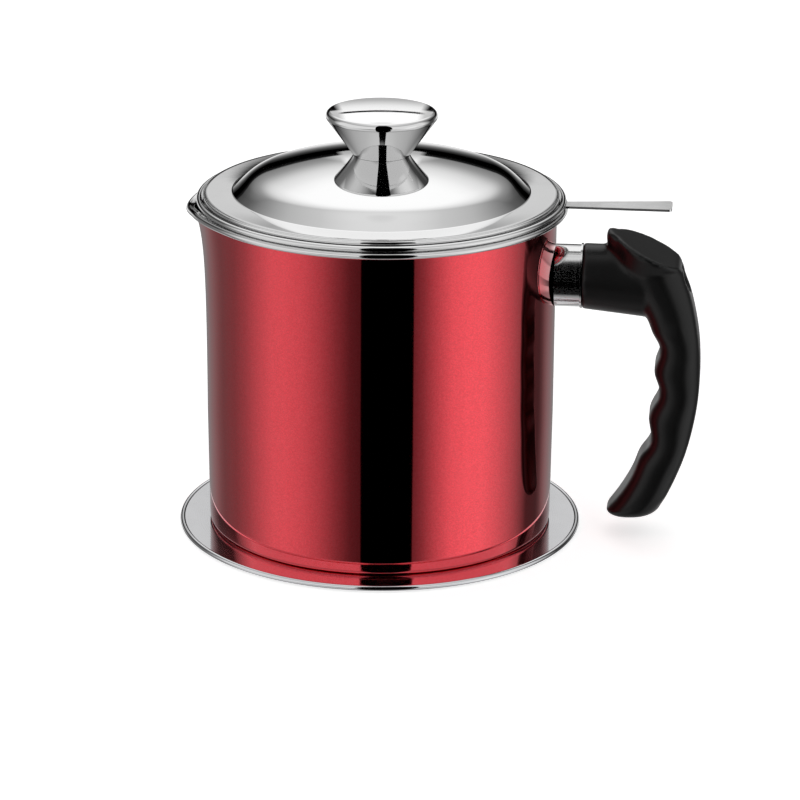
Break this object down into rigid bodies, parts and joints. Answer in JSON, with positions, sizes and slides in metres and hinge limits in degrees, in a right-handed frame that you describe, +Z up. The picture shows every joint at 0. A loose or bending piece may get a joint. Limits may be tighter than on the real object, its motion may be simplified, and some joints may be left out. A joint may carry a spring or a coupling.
{
  "type": "grease container",
  "caption": "Spouted steel pot on a drip tray, with a curved grip, a lift-out mesh strainer with a finger tab, and a domed lid with a conical knob.",
  "frame": {"origin": "on the floor under the middle of the drip tray, at the flat underside of its pressed-down centre", "axes": "+Z up along the pot's axis, +X towards the handle, -X towards the pouring spout"},
  "size_m": [0.1805, 0.14, 0.1488],
  "materials": {
    "red_lacquer": "metallic red gloss lacquer outside, bare steel inside",
    "mirror_steel": "mirror-polished stainless steel",
    "polished_steel": "polished stainless steel",
    "tray_steel": "satin stainless steel",
    "mesh_steel": "fine woven stainless wire",
    "fastener_steel": "zinc-plated steel",
    "bakelite": "black moulded phenolic, satin"
  },
  "bodies": {
    "tray": {"drip_tray": "tray_steel"},
    "pot": {"pot_shell": "red_lacquer", "handle_ferrule": "mirror_steel", "handle_boss": "polished_steel", "handle_grip": "bakelite", "handle_washer": "fastener_steel", "handle_screw": "fastener_steel"},
    "strainer": {"strainer_rim": "polished_steel", "strainer_mesh": "mesh_steel", "strainer_hoop": "polished_steel", "strainer_tab": "polished_steel"},
    "lid": {"lid_shell": "mirror_steel", "lid_locating_ring": "polished_steel", "knob_shell": "mirror_steel", "knob_cap": "mirror_steel", "knob_insert": "fastener_steel", "knob_washer": "fastener_steel", "knob_screw": "fastener_steel"}
  },
  "joints": [
    {"name": "pot_lift", "type": "slide", "parent": "tray", "child": "pot", "axis": [0, 0, 1], "range_m": [0, 0.03]},
    {"name": "strainer_lift", "type": "slide", "parent": "pot", "child": "strainer", "axis": [0, 0, 1], "range_m": [0, 0.06]},
    {"name": "lid_lift", "type": "slide", "parent": "strainer", "child": "lid", "axis": [0, 0, 1], "range_m": [0, 0.05]}
  ]
}
